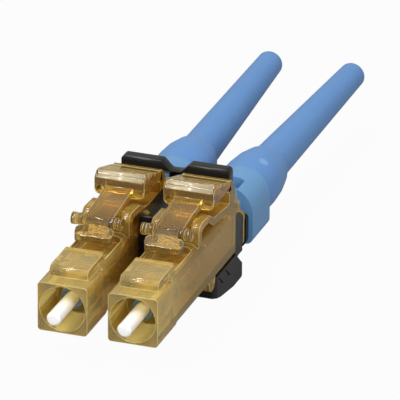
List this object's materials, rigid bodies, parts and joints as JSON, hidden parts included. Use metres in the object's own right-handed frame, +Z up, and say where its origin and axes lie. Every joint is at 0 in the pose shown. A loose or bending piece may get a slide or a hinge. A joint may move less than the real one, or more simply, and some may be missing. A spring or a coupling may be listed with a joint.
{
  "type": "duplex fibre-optic connector",
  "caption": "Duplex fibre-optic plug: clear amber latch bodies with white ceramic ferrules, held side by side by a black clip, with long blue tapered boots.",
  "frame": {"origin": "bottom centre of the overall box, under the clip's foot", "axes": "+X to the right seen from the front, +Y from the ferrules towards the boots, +Z up, with the latch levers on top"},
  "size_m": [0.0116, 0.0584, 0.0116],
  "materials": {
    "amber_plastic": "clear amber moulding, polished",
    "clip_plastic": "black moulding, glossy",
    "ceramic": "ground white ceramic",
    "holder_steel": "turned steel",
    "spring_steel": "drawn wire",
    "guide_plastic": "plain tube",
    "crimp_metal": "turned, plated",
    "sleeve_metal": "plain ring",
    "rear_plastic": "blue moulding, satin",
    "boot_rubber": "soft blue moulding, matt"
  },
  "bodies": {
    "plug_pair": {"duplex_clip": "clip_plastic", "left_housing": "amber_plastic", "left_spring": "spring_steel", "left_crimp_body": "crimp_metal", "left_crimp_sleeve": "sleeve_metal", "left_rear_body": "rear_plastic", "left_boot": "boot_rubber", "right_housing": "amber_plastic", "right_spring": "spring_steel", "right_crimp_body": "crimp_metal", "right_crimp_sleeve": "sleeve_metal", "right_rear_body": "rear_plastic", "right_boot": "boot_rubber"},
    "left_latch": {"left_latch_lever": "amber_plastic"},
    "left_float": {"left_ferrule": "ceramic", "left_ferrule_holder": "holder_steel", "left_guide_tube": "guide_plastic"},
    "right_latch": {"right_latch_lever": "amber_plastic"},
    "right_float": {"right_ferrule": "ceramic", "right_ferrule_holder": "holder_steel", "right_guide_tube": "guide_plastic"}
  },
  "joints": [
    {"name": "left_latch_press", "type": "hinge", "parent": "plug_pair", "child": "left_latch", "pos_m": [-0.00313, -0.00901, 0.0095], "axis": [1, 0, 0], "range_deg": [0, 3], "stiffness_Nm_per_rad": 0.05},
    {"name": "left_ferrule_float", "type": "slide", "parent": "plug_pair", "child": "left_float", "axis": [0, 1, 0], "range_m": [0, 0.0009], "stiffness_N_per_m": 50, "deforming": ["left_spring"]},
    {"name": "right_latch_press", "type": "hinge", "parent": "plug_pair", "child": "right_latch", "pos_m": [0.00313, -0.00901, 0.0095], "axis": [1, 0, 0], "range_deg": [0, 3], "stiffness_Nm_per_rad": 0.05},
    {"name": "right_ferrule_float", "type": "slide", "parent": "plug_pair", "child": "right_float", "axis": [0, 1, 0], "range_m": [0, 0.0009], "stiffness_N_per_m": 50, "deforming": ["right_spring"]}
  ]
}
